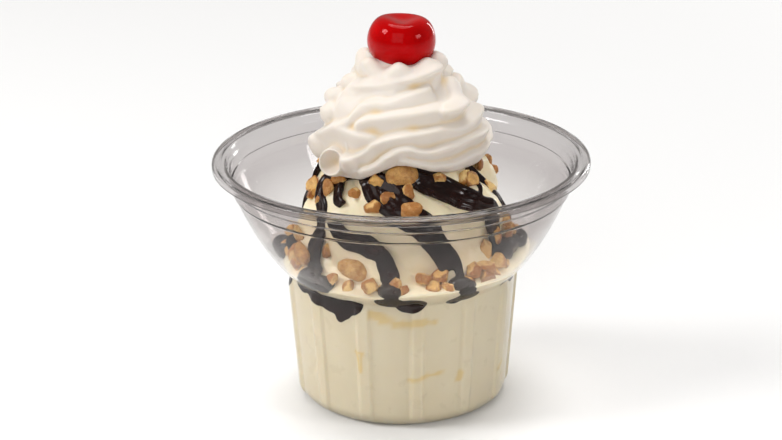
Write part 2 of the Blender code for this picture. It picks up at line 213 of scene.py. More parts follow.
# The chopped peanuts that show in front, as (azimuth, height, length).
PEANUT_SEED = 23
PEANUT_PLACES = (
    (-52, 73.5, 5.8),
    (-57, 71.6, 5.6),
    (-63, 67.0, 5.6),
    (-17, 76.6, 6.8),
    (-8, 73.0, 6.0),
    (-17, 70.3, 6.2),
    (4, 74.5, 6.2),
    (5, 69.7, 6.6),
    (27, 77.0, 5.0),
    (46, 76.6, 5.2),
    (52, 74.5, 6.6),
    (71, 70.2, 6.4),
    (73, 77.0, 5.4),
    (-32, 72.2, 4.6),
    (100, 73.4, 5.6),
    (-69, 56.4, 6.0),
    (-65, 51.4, 5.6),
    (-61, 48.3, 5.0),
    (-56, 46.9, 6.4),
    (-47, 54.3, 6.6),
    (-36, 47.4, 6.2),
    (-26, 46.8, 6.0),
    (-15, 48.6, 6.4),
    (-9, 47.2, 5.6),
    (-3, 48.4, 6.2),
    (0, 46.9, 5.2),
    (12, 49.6, 6.4),
    (15, 47.2, 6.4),
    (19, 50.0, 5.8),
    (22, 47.2, 6.0),
    (33, 47.4, 6.0),
    (37, 51.0, 6.6),
    (41, 47.2, 6.4),
    (44, 50.6, 6.8),
    (50, 47.2, 6.4),
    (53, 53.8, 6.6),
    (56, 49.6, 7.0),
    (61, 47.8, 5.4),
    (65, 55.4, 6.2),
    (75, 59.5, 6.0),
    (76, 54.6, 6.2),
    (82, 55.0, 5.4),
)
# Half kernels, as (azimuth, height, length, how far out they stand).
HALF_KERNELS = (
    (0, 78.4, 10.4, 0.8),
    (-25, 52.2, 9.4, 0.6),
    (45, 47.6, 8.6, 0.6),
    (131, 52.0, 9.0, 0.6),
    (219, 56.0, 9.2, 0.6),
    (301, 52.0, 8.8, 0.6),
)
# Pieces at the back, as (count, lowest, highest).
HIDDEN_PEANUTS = ((44, 45.9, 50.5), (16, 63.0, 73.0))
# Below the first height pieces lie on the filling's edge, below the second the wall holds them in.
LEDGE_HEIGHT = 52
HELD_HEIGHT = 73
PEANUT_GAP = 0.1

# The whipped cream.
CREAM_FOOT = 74.3
CREAM_START_AZIMUTH = 110.0
# The rope's course, a row for each half turn: (outermost radius, height, half width, half height).
CREAM_COURSE = (
    (24.4, 79.6, 9.0, 6.8),
    (26.0, 79.0, 9.6, 6.9),
    (25.8, 83.6, 9.4, 6.8),
    (24.0, 89.2, 8.8, 6.5),
    (21.8, 93.6, 8.0, 6.0),
    (18.8, 98.0, 7.0, 5.6),
    (16.0, 101.8, 6.0, 5.0),
    (13.4, 103.6, 5.2, 4.4),
    (12.4, 106.0, 4.0, 3.8),
)
CREAM_RIDGES = 6
CREAM_RIDGE_DEPTH = 0.19
CREAM_TWIST_TURNS = -3.0
CREAM_WAVES = ((2.6, 17.0), (0.9, 7.5), (0.25, 4.0))
CORE_DEPTH = 8.0
# The coil's outline, as (radius, height).
CREAM_OUTLINE = (
    (26.6, 76.0),
    (27.2, 81.8),
    (26.4, 88.2),
    (24.6, 93.4),
    (23.2, 95.8),
    (20.8, 98.4),
    (17.6, 101.0),
    (15.6, 103.4),
    (12.6, 107.0),
)
# How far the front of the rope and of the core behind it are drawn in from the outline.
FRONT_DEPTH = 2.9
BODY_DEPTH = 2.4
CORE_HEIGHTS = (74.4, 106.0)
# The crests on the front: how far each stands out, and (azimuth, height) places along it. Each falls away
# within so many millimetres above it and below it.
CREST_ABOVE = 1.4
CREST_BELOW = 3.1
CREST_SCALE = 1.25
CREAM_CRESTS = (
    (1.8, ((-70, 100.4), (-52, 102.0), (-30, 103.2), (-9, 103.9), (11, 104.9), (33, 106.0), (60, 107.4))),
    (1.3, ((-64, 97.4), (-47, 99.1), (-38, 101.0), (-22, 101.9), (-2, 101.8))),
    (2.2, (
        (-54, 90.6), (-43, 92.7), (-38, 96.0), (-32, 98.4), (-23, 99.3),
        (-12, 99.1), (0, 100.3), (19, 101.6), (36, 102.4),
    )),
    (2.5, (
        (-36, 92.4), (-25, 94.8), (-16, 95.7), (-6, 96.5),
        (9, 96.8), (26, 97.0), (40, 96.9), (60, 98.4),
    )),
    (2.3, ((-94, 84.0), (-69, 87.4), (-53, 90.8), (-40, 90.9), (-30, 90.3), (-16, 89.9))),
    (2.5, (
        (-44, 82.6), (-32, 83.6), (-24, 85.4), (-17, 88.2), (-7, 90.1),
        (4, 90.9), (17, 91.3), (32, 91.6), (51, 91.2), (90, 93),
    )),
    (2.6, (
        (-30, 79.4), (-19, 80.9), (-10, 84.2), (-2, 86.4), (6, 87.1),
        (14, 86.1), (22, 85.7), (33, 86.6), (48, 87.2), (92, 86.6),
    )),
    (2.4, ((-2, 84.2), (10, 83.0), (21, 81.6), (33, 80.9), (50, 81.8), (73, 81.2), (100, 82.4))),
)
# The thick part of the rope that turns upright on the right.
CREAM_BEND = (2.7, ((30, 95.9), (46, 96.3), (58, 98.0), (69, 100.0), (78, 102.4)))
# Rounded knobs of cream, as (azimuth, height, half size, how far inside the outline their middle lies).
CREAM_KNOBS = (
    (-84, 100.8, 3.4, 2.8),
    (-82, 96.6, 3.6, 2.9),
    (-72, 92.6, 3.8, 3.2),
    (-76, 82.0, 4.6, 4.0),
    (82, 107.2, 3.3, 1.3),
    (-37, 81.0, 4.2, 3.4),
)
# How far the coil's foot lies above the mound, as (azimuth, rise).
FOOT_RISE = (
    (-45, 0.0),
    (-30, 1.2),
    (-20, 3.0),
    (-12, 4.6),
    (-3, 6.2),
    (4, 6.6),
    (11, 6.0),
    (21, 4.2),
    (35, 2.8),
    (76, 2.4),
    (100, 0.0),
)
# The rolled end of the rope: its azimuth, radius and height, the way it faces and the width of its hollow.
CURL = (-50.0, 26.2, 80.7)
CURL_FACES = (-24.0, 14.0)
CURL_RADIUS = 4.7
CURL_HOLLOW = 3.7
# The wavy lip round the cherry: its radius, its height and its waves.
LIP_RADIUS = 10.7
LIP_HEIGHT = 105.9
LIP_WAVES = 7
# Hollows where the cream is painted a warmer, darker colour as painted shade, as (azimuth, height).
SHADED_HOLLOWS = ((15, 103.2), (-20, 91.8), (9, 92.2), (-36, 91.5), (-20, 96.9), (64, 103.0))
CREAM_SECTIONS = 420
CREAM_SIDES = 96
CREAM_VOXEL = 0.42

# The cherry.
CHERRY_RADIUS = 10.35
CHERRY_HALF_HEIGHT = 8.9
CHERRY_SHOULDER = 10.9
CHERRY_CENTRE = (0.4, 0.0, 113.2)
CHERRY_DIMPLE = 4.3
CHERRY_DIMPLE_WIDTH = 0.58
# The dip in the dimple's front edge: its depth, its reach to the sides and to the back, and where it lies.
CHERRY_NOTCH = 0.9
CHERRY_NOTCH_REACH = (0.4, 0.3)
CHERRY_NOTCH_FRONT = 0.5
CHERRY_TILT_DEGREES = (-4, 3)

# The floor lies just below the cup's base.
FLOOR_RADIUS = 6000.0
FLOOR_DROP = 0.05

# The camera, in metres: where it stands and looks, then how far it is turned left, up and about its own axis.
CAMERA_PLACE = (0.0, -0.7002, 0.3138)
CAMERA_TARGET = (0.0, 0.0, 0.045)
CAMERA_LENS = 111.4
CAMERA_TURNS_DEGREES = (0.249, 0.784, -0.45)


def ease(share):
    """A share from 0 to 1, with a soft start and end."""
    share = np.clip(share, 0.0, 1.0)
    return share * share * (3 - 2 * share)


def at(azimuth, radius, height):
    """Points at these azimuths, radii and heights: arrays, or single numbers."""
    azimuth, radius, height = np.broadcast_arrays(azimuth, radius, height)
    turn = np.radians(azimuth)
    return np.stack([radius * np.sin(turn), -radius * np.cos(turn), height], -1)


def smooth_path(places, count):
    """As many places as asked, read along a Catmull-Rom curve through a few chosen ones."""
    rows = np.array([places[0], *places, places[-1]], float)
    place = np.linspace(0, len(places) - 1, count)
    index = np.minimum(place.astype(int), len(places) - 2)
    t = (place - index)[:, None]
    return (
        rows[index] * (-t + 2 * t**2 - t**3)
        + rows[index + 1] * (2 - 5 * t**2 + 3 * t**3)
        + rows[index + 2] * (t + 4 * t**2 - 3 * t**3)
        + rows[index + 3] * (-(t**2) + t**3)
    ) / 2


def waves(points, length, seed=0.0):
    """Smooth noise vectors of this wavelength at each point."""
    shift = Vector((seed, -seed, 0.5 * seed))
    flat = points.reshape(-1, 3)
    found = [noise.noise_vector(Vector(p) / length + shift)[:] for p in flat.tolist()]
    return np.array(found).reshape(points.shape)


def grid_faces(rows, columns):
    """Quads of a grid of points whose columns close on themselves."""
    low = np.arange(rows - 1)[:, None] * columns
    here = np.arange(columns)
    there = (here + 1) % columns
    corners = (low + here, low + there, low + columns + there, low + columns + here)
    return np.stack(corners, -1).reshape(-1, 4).tolist()


def closed_grid(rings):
    """Points and faces of a skin through rings, each end closed on the ring's own centre."""
    rows, columns = rings.shape[:2]
    points = np.concatenate([rings.reshape(-1, 3), [rings[0].mean(0), rings[-1].mean(0)]])
    faces = grid_faces(rows, columns)
    first, last, top = rows * columns, rows * columns + 1, (rows - 1) * columns
    for here in range(columns):
        there = (here + 1) % columns
        faces.append((first, there, here))
        faces.append((last, top + here, top + there))
    return points, faces


def ring_part(rings):
    """Points and faces of rings that close on themselves both ways."""
    rows, columns = rings.shape[:2]
    faces = grid_faces(rows, columns)
    last = (rows - 1) * columns
    for here in range(columns):
        there = (here + 1) % columns
        faces.append((last + here, last + there, there, here))
    return rings.reshape(-1, 3), faces


def add_mesh(name, points, faces, material):
    mesh = bpy.data.meshes.new(name)
    mesh.from_pydata((np.asarray(points) * MM).tolist(), [], faces)
    mesh.materials.append(material)
    mesh.shade_smooth()
    obj = bpy.data.objects.new(name, mesh)
    bpy.context.scene.collection.objects.link(obj)
    return obj


def points_of(mesh):
    """A mesh's points in millimetres."""
    flat = np.empty(len(mesh.vertices) * 3)
    mesh.vertices.foreach_get("co", flat)
    return flat.reshape(-1, 3) / MM


def set_points(mesh, points):
    mesh.vertices.foreach_set("co", (points * MM).astype(np.float32).ravel())
    mesh.update()


def set_value(mesh, name, values):
    """Gives each point of the mesh a number that its material reads by name."""
    attribute = mesh.attributes.new(name, "FLOAT", "POINT")
    attribute.data.foreach_set("value", np.asarray(values, np.float32))


def ball(centre, sizes, turn=None):
    """Points and faces of an ellipsoid with these half sizes."""
    bm = bmesh.new()
    bmesh.ops.create_icosphere(bm, subdivisions=3, radius=1.0)
    points = np.array([v.co[:] for v in bm.verts]) * np.array(sizes)
    faces = [[v.index for v in face.verts] for face in bm.faces]
    bm.free()
    if turn is not None:
        points = points @ np.array(turn).T
    return points + np.array(centre), faces


def gathered(parts):
    """One list of points and one of faces from several parts."""
    points, faces, start = [], [], 0
    for part_points, part_faces in parts:
        points.append(part_points)
        faces += [[start + index for index in face] for face in part_faces]
        start += len(part_points)
    return np.concatenate(points), faces


def facing(azimuth):
    """The turn that takes x, y, z to sideways, outward and up at this azimuth."""
    return np.array(Matrix.Rotation(math.radians(azimuth + 180), 3, "Z"))


def fused(obj, voxel, smoothing):
    """Replaces an object's overlapping parts by one smooth skin round them all."""
    remesh = obj.modifiers.new("fuse", "REMESH")
    remesh.mode = "VOXEL"
    remesh.voxel_size = voxel * MM
    soften = obj.modifiers.new("soften", "SMOOTH")
    soften.factor = 0.5
    soften.iterations = smoothing
    bpy.context.view_layer.update()
    graph = bpy.context.evaluated_depsgraph_get()
    mesh = bpy.data.meshes.new_from_object(obj.evaluated_get(graph))
    obj.modifiers.clear()
    obj.data = mesh
    mesh.shade_smooth()
    return mesh


def blurred(mesh, points, rounds):
    """The points, each drawn towards its neighbours as many times as asked."""
    edges = np.empty(len(mesh.edges) * 2, int)
    mesh.edges.foreach_get("vertices", edges)
    one, other = edges.reshape(-1, 2).T
    count = np.maximum(np.bincount(edges, minlength=len(points)), 1)[:, None]
    for _ in range(rounds):
        total = np.zeros_like(points)
        for axis in range(3):
            total[:, axis] = np.bincount(one, points[other, axis], len(points))
            total[:, axis] += np.bincount(other, points[one, axis], len(points))
        points = 0.3 * points + 0.7 * total / count
    return points


def hollows(mesh, rounds):
    """How deep each point lies in a hollow of the mesh, in millimetres: below 0 where it stands out."""
    normals = np.empty(len(mesh.vertices) * 3)
    mesh.vertices.foreach_get("normal", normals)
    points = points_of(mesh)
    return ((blurred(mesh, points, rounds) - points) * normals.reshape(-1, 3)).sum(1)


# The cup's outline and the ribs on its tube.


def moved_in(line, depth):
    """An outline of (radius, height, rib share) rows moved towards the cup's inside."""
    step = np.gradient(line[:, :2], axis=0)
    step /= np.linalg.norm(step, axis=1)[:, None]
    moved = line.copy()
    moved[:, 0] -= depth * step[:, 1]
    moved[:, 1] += depth * step[:, 0]
    return moved


def mitred_in(line, depth):
    """As moved_in, for a line with sharp corners."""
    side = np.diff(line[:, :2], axis=0)
    side /= np.linalg.norm(side, axis=1)[:, None]
    normal = np.stack([-side[:, 1], side[:, 0]], 1)
    first = np.vstack([normal[:1], normal])
    last = np.vstack([normal, normal[-1:]])
    bisector = first + last
    bisector /= np.linalg.norm(bisector, axis=1)[:, None]
    reach = depth / np.maximum((bisector * first).sum(1), 0.5)
    moved = line.copy()
    moved[:, :2] += bisector * reach[:, None]
    return moved


def eased_corners(line, reach, count):
    """The line with each real corner rounded, starting at most this far from it."""
    eased = [line[0]]
    for before, corner, after in zip(line, line[1:], line[2:]):
        to_start, to_end = before - corner, after - corner
        lengths = np.linalg.norm(to_start[:2]), np.linalg.norm(to_end[:2])
        bend = 1 + to_start[:2] @ to_end[:2] / (lengths[0] * lengths[1])
        if bend < 0.02:
            eased.append(corner)
            continue
        start = corner + to_start * min(0.46, reach / lengths[0])
        end = corner + to_end * min(0.46, reach / lengths[1])
        for t in np.linspace(0, 1, count):
            eased.append((1 - t) ** 2 * start + 2 * t * (1 - t) * corner + t * t * end)
    eased.append(line[-1])
    return np.array(eased)


def cup_midline():
    """The middle of the cup's wall, base to rim, as rows of (radius, height, share of the rib's height)."""
    centre = TUBE_FOOT_RADIUS - FOOT_FILLET
    line = [(centre - 2.0, 0.0, 0.0)]
    for degrees in np.arange(-90, 1, 9):
        turn = math.radians(degrees)
        rib = float(ease((degrees + 64) / 64))
        line.append((centre + FOOT_FILLET * math.cos(turn), FOOT_FILLET * (1 + math.sin(turn)), rib))
    for height in (12.0, 21.0, 30.0, 38.4, TUBE_TOP_HEIGHT, 40.3, 40.9, NECK_HEIGHT):
        share = (height - FOOT_FILLET) / (TUBE_TOP_HEIGHT - FOOT_FILLET)
        radius = TUBE_FOOT_RADIUS + share * (TUBE_TOP_RADIUS - TUBE_FOOT_RADIUS)
        rib = float(1 - ease((height - 38.4) / (NECK_HEIGHT - 38.4)))
        line.append((min(radius, NECK_RADIUS), height, rib))
    corners = ((NECK_RADIUS, NECK_HEIGHT), FLARE_BELLY, (RING_RADIUS, RING_HEIGHT))
    low, belly, high = (np.array(corner) for corner in corners)
    for t in np.linspace(0, 1, 20)[1:]:
        line.append((*((1 - t) ** 2 * low + 2 * t * (1 - t) * belly + t * t * high), 0.0))
    radius = RING_RADIUS + STEP_DEPTH
    for height in STEP_HEIGHTS:
        line.append((radius, height - STEP_RISE, 0.0))
        line.append((radius + STEP_DRAFT, height, 0.0))
        radius += STEP_DEPTH + STEP_DRAFT
    middle = mitred_in(np.array(line), WALL / 2)
    rim = smooth_path(RIM_MIDLINE, 44)
    rim = np.column_stack([rim, np.zeros(len(rim))])
    return np.vstack([eased_corners(np.vstack([middle, rim[:1]]), 0.5, 5)[:-1], rim])


MIDLINE = cup_midline()
# The rows between the base's disc and the turned-down rim, whose heights only rise.
RISING_ROWS = slice(3, -40)


def rib_share(azimuth):
    """Where the ribs stand: 1 on a rib's crest, 0 between the ribs."""
    pitch = 360 / RIB_COUNT
    offset = (azimuth - RIB_AZIMUTH + pitch / 2) % pitch - pitch / 2
    return 1 - ease((np.abs(offset) - RIB_CREST) / (RIB_FOOT - RIB_CREST))


def rib_azimuths():
    """Azimuths all round the cup, close together where a rib's side is."""
    pitch = 360 / RIB_COUNT
    offsets = sorted([-offset for offset in RIB_OFFSETS[1:]] + [*RIB_OFFSETS, pitch / 2])
    return np.array([RIB_AZIMUTH + rib * pitch + offset for rib in range(RIB_COUNT) for offset in offsets])


def ribbed_rings(line, azimuths):
    """One ring for each row of the line, standing out wherever there is a rib."""
    radius = line[:, :1] + RIB_HEIGHT * line[:, 2:] * rib_share(azimuths)[None, :]
    return at(azimuths[None, :], radius, line[:, 1:2])


def wall_radius(azimuth, height, depth):
    """How far out the surface lies that is this deep inside the middle of the cup's wall."""
    line = moved_in(MIDLINE, depth)[RISING_ROWS]
    radius = np.interp(height, line[:, 1], line[:, 0])
    return radius + RIB_HEIGHT * np.interp(height, line[:, 1], line[:, 2]) * rib_share(azimuth)


def make_cup(material):
    azimuths = rib_azimuths()
    outside = moved_in(MIDLINE, -WALL / 2)
    inside = moved_in(MIDLINE, WALL / 2)
    rings = ribbed_rings(np.vstack([outside, inside[::-1]]), azimuths)
    return add_mesh("clear_cup", *closed_grid(rings), material)


# The soft-serve.


def fill_level(azimuth):
    """The soft-serve's level against the bowl's wall."""
    azimuth = np.asarray(azimuth, float)
    level = FILL_HEIGHT + FILL_RISE * (1 + np.cos(np.radians(azimuth - FILL_RISE_AZIMUTH)))
    return level + 0.35 * np.sin(np.radians(5 * azimuth)) + 0.25 * np.sin(np.radians(11 * azimuth + 40))


def fold(azimuth, height):
    """How far a twisted fold of the mound stands out, from -1 in its creases to 1."""
    turn = np.radians(azimuth + FOLD_TWIST_DEGREES * (height - FILL_HEIGHT))
    phase = FOLD_COUNT * turn + 0.8 * np.sin(2 * turn + 1.0)
    return 0.45 * np.cos(phase) + 0.55 * (2 * np.abs(np.cos(phase / 2)) ** 0.8 - 1)


def mound_radius(azimuth, height):
    """The mound's own radius above the fill level, folds included."""
    profile = smooth_path(MOUND_PROFILE, 90)
    height = np.clip(height, FILL_HEIGHT, MOUND_TOP)
    radius = np.interp(height, profile[:, 1], profile[:, 0])
    rise = np.clip((height - FILL_HEIGHT) / 6, 0, 1)
    fall = np.clip((MOUND_TOP - height) / 4, 0, 1)
    left = np.clip(-np.sin(np.radians(azimuth)), 0, 1) ** 1.5 * ease((height - 55) / 12)
    return radius + FOLD_DEPTH * rise * fall * fold(azimuth, height) - LEFT_SHOULDER * left


def with_steps(line, longest):
    """The line with each long part divided."""
    rows = [line[:1]]
    for start, end in zip(line, line[1:]):
        count = max(1, math.ceil(np.linalg.norm(end[:2] - start[:2]) / longest))
        rows.append(start + (end - start) * np.linspace(0, 1, count + 1)[1:, None])
    return np.vstack(rows)


def streaks(points):
    """For each point, how far it lies within a streak where the filling is painted darker and yellower:
    painted shade of an air pocket.
    """
    rng = random.Random(STREAK_SEED)
    wanted = list(STREAKS)
    for index in range(HIDDEN_STREAKS):
        azimuth = 90 + index * 24 + rng.uniform(-6, 6)
        height = rng.uniform(10, 37)
        end = (azimuth + rng.uniform(4, 14), height + rng.uniform(-1, 2))
        wanted.append((azimuth, height, *end, rng.uniform(0.7, 1.5)))
    azimuth = np.degrees(np.arctan2(points[:, 0], -points[:, 1]))
    found = np.zeros(len(points))
    ragged = waves(points, 2.5, 9.0)[:, 0]
    for start, low, end, high, half in wanted:
        across = TUBE_DEGREE * ((azimuth - start + 180) % 360 - 180)
        along = np.array([TUBE_DEGREE * (end - start), high - low])
        share = np.clip((across * along[0] + (points[:, 2] - low) * along[1]) / (along @ along), 0, 1)
        away = np.hypot(across - share * along[0], points[:, 2] - low - share * along[1])
        away += 0.9 * half * ragged
        found = np.maximum(found, 1 - ease((away - 0.6 * half) / half))
    return found * (points[:, 2] < 41)


def make_soft_serve(material):
    azimuths = rib_azimuths()
    line = moved_in(MIDLINE, SERVE_DEPTH)
    line = with_steps(line[line[:, 1] < NECK_HEIGHT - 0.2], 0.9)
    fill = fill_level(azimuths)
    rings = [ribbed_rings(line, azimuths)]
    for share in np.linspace(0, 1, 10):
        height = NECK_HEIGHT + share * (fill - NECK_HEIGHT)
        rings.append(at(azimuths, wall_radius(azimuths, height, SERVE_DEPTH), height)[None])
    lifted = []
    for height in np.linspace(46.2, MOUND_TOP, 120):
        raised = height + ((MOUND_TOP - height) / (MOUND_TOP - FILL_HEIGHT)) ** 4 * (fill - FILL_HEIGHT)
        lifted.append(at(azimuths, mound_radius(azimuths, raised), raised))
    edge = rings[-1][0]
    rings += [(edge + (lifted[0] - edge) * share)[None] for share in (0.25, 0.5, 0.75)]
    lifted = np.array(lifted)
    fade = ease((lifted[..., 2:] - 47) / 5)
    lifted += fade * (0.9 * waves(lifted, 9.0) + 0.2 * waves(lifted, 3.0, 4.0))
    rings = np.concatenate([*rings, lifted])
    obj = add_mesh("soft_serve", *closed_grid(rings), material)
    set_value(obj.data, "streak", streaks(points_of(obj.data)))
    return obj


# The fudge.


def frames(centre, azimuth):
    """For each place on a path: the direction beside it, and the one out of what it lies on."""
    along = np.gradient(centre, axis=0)
    along /= np.linalg.norm(along, axis=1)[:, None]
    side = np.cross(along, at(azimuth, 1.0, 0.35))
    side /= np.linalg.norm(side, axis=1)[:, None]
    return side, np.cross(side, along)


def strand_rings(path, offset, radius, rng):
    """Rings along one strand of fudge that runs beside a run's own path."""
    rows = smooth_path(path, STRAND_STEPS)
    azimuth, height = rows[:, 0], np.minimum(rows[:, 1], MOUND_TOP - 1)
    centre = at(azimuth, mound_radius(azimuth, height), height)
    side, lift = frames(centre, azimuth)
    share = np.linspace(0, 1, STRAND_STEPS)
    phase = rng.uniform(0, math.tau)
    wander = 0.3 * np.sin(share * rng.uniform(5, 9) + phase)
    centre = centre + side * (offset + wander)[:, None] + lift * 0.25 * radius
    swell = radius * (1 + 0.16 * np.sin(share * rng.uniform(9, 16) + phase))
    swell = swell * np.sqrt(np.clip(1 - (2 * share - 1) ** 30, 0.02, 1))
    turn = np.linspace(0, math.tau, STRAND_SIDES, endpoint=False)[None, :, None]
    section = side[:, None] * np.cos(turn) + 0.82 * lift[:, None] * np.sin(turn)
    return centre[:, None] + swell[:, None, None] * section


def make_fudge(material):
    rng = random.Random(FUDGE_SEED)
    parts = []
    for half_width, path in FUDGE_RUNS:
        count = max(1, round(2 * half_width / STRAND_SPACING))
        for index in range(count):
            offset = (index - (count - 1) / 2) * STRAND_SPACING
            trim = rng.uniform(0.0, 1.2)
            ends = (*path[:-1], (path[-1][0] + rng.uniform(-1.5, 1.5), path[-1][1] + trim))
            radius = STRAND_RADIUS * rng.uniform(0.85, 1.15)
            parts.append(closed_grid(strand_rings(ends, offset, radius, rng)))
    for azimuth, height, size in FUDGE_POOLS:
        radius = float(mound_radius(azimuth, height)) + 0.3 * size
        for lobe in range(3):
            turn = azimuth + math.degrees(rng.uniform(-0.5, 0.5) * size / radius)
            centre = at(turn, radius - 0.15 * size, height + rng.uniform(-0.15, 0.25) * size)
            sizes = (size * rng.uniform(0.6, 0.92), 0.75 * size, size * rng.uniform(0.42, 0.64))
            parts.append(ball(centre, sizes, facing(turn)))
    for azimuth, height, half_degrees, half_height in WALL_POOLS:
        radius = float(wall_radius(azimuth, height, WALL / 2))
        half_width = math.radians(half_degrees) * radius
        centre = at(azimuth, radius - 0.6, height)
        parts.append(ball(centre, (half_width, 2.2, half_height), facing(azimuth)))
    obj = add_mesh("hot_fudge", *gathered(parts), material)
    mesh = fused(obj, FUDGE_VOXEL, 5)
    points = points_of(mesh)
    points += 0.45 * waves(points, 4.5, 2.0)
    azimuth = np.degrees(np.arctan2(points[:, 0], -points[:, 1]))
    radius = np.hypot(points[:, 0], points[:, 1])
    limit = wall_radius(azimuth, points[:, 2], FUDGE_DEPTH)
    points[:, :2] *= (np.minimum(radius, limit) / radius)[:, None]
    set_points(mesh, points)
    return obj


# The chopped peanuts.


def kernel_points(length, rng, half):
    """A piece of peanut about its own centre, and for each point whether it lies on a cut face."""
    points, faces = ball((0, 0, 0), (1, 1, 1))
    cut = np.zeros(len(points))
    shape = np.array((0.5, 0.34, 0.3) if half else (0.58, rng.uniform(0.36, 0.5), rng.uniform(0.23, 0.33)))
    points = points * shape * length
    points += 0.06 * length * waves(points / length, 0.5, rng.uniform(0, 40))
    if half:
        cut += 0.55
        planes = [((0, 0, -1), 0.02, 1.0)]
    else:
        planes = []
        for index in range(rng.randint(6, 8)):
            away = np.array(Vector((rng.gauss(0, 1), rng.gauss(0, 1), rng.gauss(0, 1))).normalized())
            reach = np.linalg.norm(shape * away) * rng.uniform(0.45, 0.75)
            planes.append((away, reach, (1.0, 0.8, 0.15)[index % 3]))
    for away, depth, paleness in planes:
        over = points @ np.array(away) - depth * length
        beyond = over > 0
        points[beyond] -= np.outer(over[beyond], away)
        cut[beyond] = paleness
    points += 0.035 * length * waves(points / length, 0.14, rng.uniform(0, 40))
    return points, faces, cut


def lay(points, azimuth, radius, height, lean, half, rng):
    """Turns a piece about its own upright axis, lays it against the mound and puts it in its place."""
    spin = Matrix.Rotation(rng.uniform(-0.5, 0.3) if half else rng.uniform(0, math.tau), 3, "Z")
    outward = Vector(at(azimuth, 1.0, 0.0))
    normal = outward.lerp(Vector((0, 0, 1)), lean)
    normal += Vector((rng.uniform(-0.35, 0.35), rng.uniform(-0.35, 0.35), rng.uniform(-0.3, 0.3)))
    turn = normal.normalized().to_track_quat("Z", "Y").to_matrix() @ spin
    return points @ np.array(turn).T + at(azimuth, radius, height)


def make_peanuts(material):
    rng = random.Random(PEANUT_SEED)
    wanted = [(azimuth, height, length, False, 0.12) for azimuth, height, length in PEANUT_PLACES]
    wanted += [(azimuth, height, length, True, out / length) for azimuth, height, length, out in HALF_KERNELS]
    for count, low, high in HIDDEN_PEANUTS:
        for index in range(count):
            azimuth = 92 + (index * 137.5 + rng.uniform(-5, 5)) % 194
            wanted.append((azimuth, rng.uniform(low, high), rng.uniform(4.8, 7.0), False, 0.12))
    parts, cuts, tones = [], [], []
    for azimuth, height, length, half, out in wanted:
        points, faces, cut = kernel_points(length, rng, half)
        low = height < LEDGE_HEIGHT
        radius = float(mound_radius(azimuth, height)) + (out + 0.1 * low) * length
        points = lay(points, azimuth, radius, height, 0.45 if low else 0.12, half, rng)
        around = np.degrees(np.arctan2(points[:, 0], -points[:, 1]))
        reach = np.hypot(points[:, 0], points[:, 1])
        room = (wall_radius(around, points[:, 2], WALL / 2) - reach).min()
        if room < PEANUT_GAP and points[:, 2].max() < HELD_HEIGHT:
            points[:, :2] += (at(azimuth, 1.0, 0.0) * (room - PEANUT_GAP))[:2]
        parts.append((points, faces))
        cuts.append(cut)
        tones.append(np.full(len(points), rng.random()))
    obj = add_mesh("chopped_peanuts", *gathered(parts), material)
    set_value(obj.data, "cut", np.concatenate(cuts))
    set_value(obj.data, "tone", np.concatenate(tones))
    return obj


# The whipped cream and the cherry.


def front_share(azimuth):
    """1 over the front of the coil, 0 over its back."""
    azimuth = (np.asarray(azimuth) + 180) % 360 - 180
    return ease((azimuth + 98) / 26) * ease((106 - azimuth) / 26)


def cream_radius(height):
    """The outline of the coil."""
    radius, level = np.array(CREAM_OUTLINE).T
    return np.interp(height, level, radius)


def cream_rings():
    """The piped rope's star-shaped sections, from its start under the coil to its end at the cherry."""
    half_turns = len(CREAM_COURSE) - 1
    share = np.linspace(0, 1, CREAM_SECTIONS)
    reach, height, half_width, half_height = smooth_path(CREAM_COURSE, CREAM_SECTIONS).T
    azimuth = CREAM_START_AZIMUTH + 180 * half_turns * share
    taper = np.minimum(np.minimum(1.0, 0.62 + 7 * share), 0.3 + 9 * (1 - share))
    turn = np.linspace(0, math.tau, CREAM_SIDES, endpoint=False)[None, :]
    twist = math.pi * CREAM_TWIST_TURNS * (share * half_turns)[:, None]
    front = front_share(azimuth)[:, None]
    ridge = 1.15 - 2 * np.abs(np.sin((CREAM_RIDGES * turn + twist) / 2)) ** 1.1
    swell = taper[:, None] * (1 + CREAM_RIDGE_DEPTH * (1 - 0.7 * front) * ridge)
    out = (reach - half_width)[:, None] + half_width[:, None] * swell * np.cos(turn) - FRONT_DEPTH * front
    up = height[:, None] + half_height[:, None] * swell * np.sin(turn)
    places, rises = np.array(FOOT_RISE).T
    rise = np.interp((azimuth + 180) % 360 - 180, places, rises)[:, None]
    return at(azimuth[:, None], out, up + rise * (1 - ease((up - 75) / 13)))


def core_rings():
    """The coil's full middle, which fills the creases of its front."""
    azimuth = np.arange(0, 360, 4.0)[None, :]
    foot, top = CORE_HEIGHTS
    height = np.linspace(foot, top, 48)[:, None]
    places, rises = np.array(FOOT_RISE).T
    rise = np.interp((azimuth + 180) % 360 - 180, places, rises)
    height = height + (rise + 1.0) * (1 - ease((height - foot) / 10))
    depth = CORE_DEPTH + (BODY_DEPTH - CORE_DEPTH) * front_share(azimuth)
    return at(azimuth, cream_radius(height) - depth, height)


def curl_axis():
    """The middle of the rope's rolled end, and the direction that its hollow faces."""
    azimuth, rise = CURL_FACES
    return at(*CURL), at(azimuth, math.cos(math.radians(rise)), math.sin(math.radians(rise)))


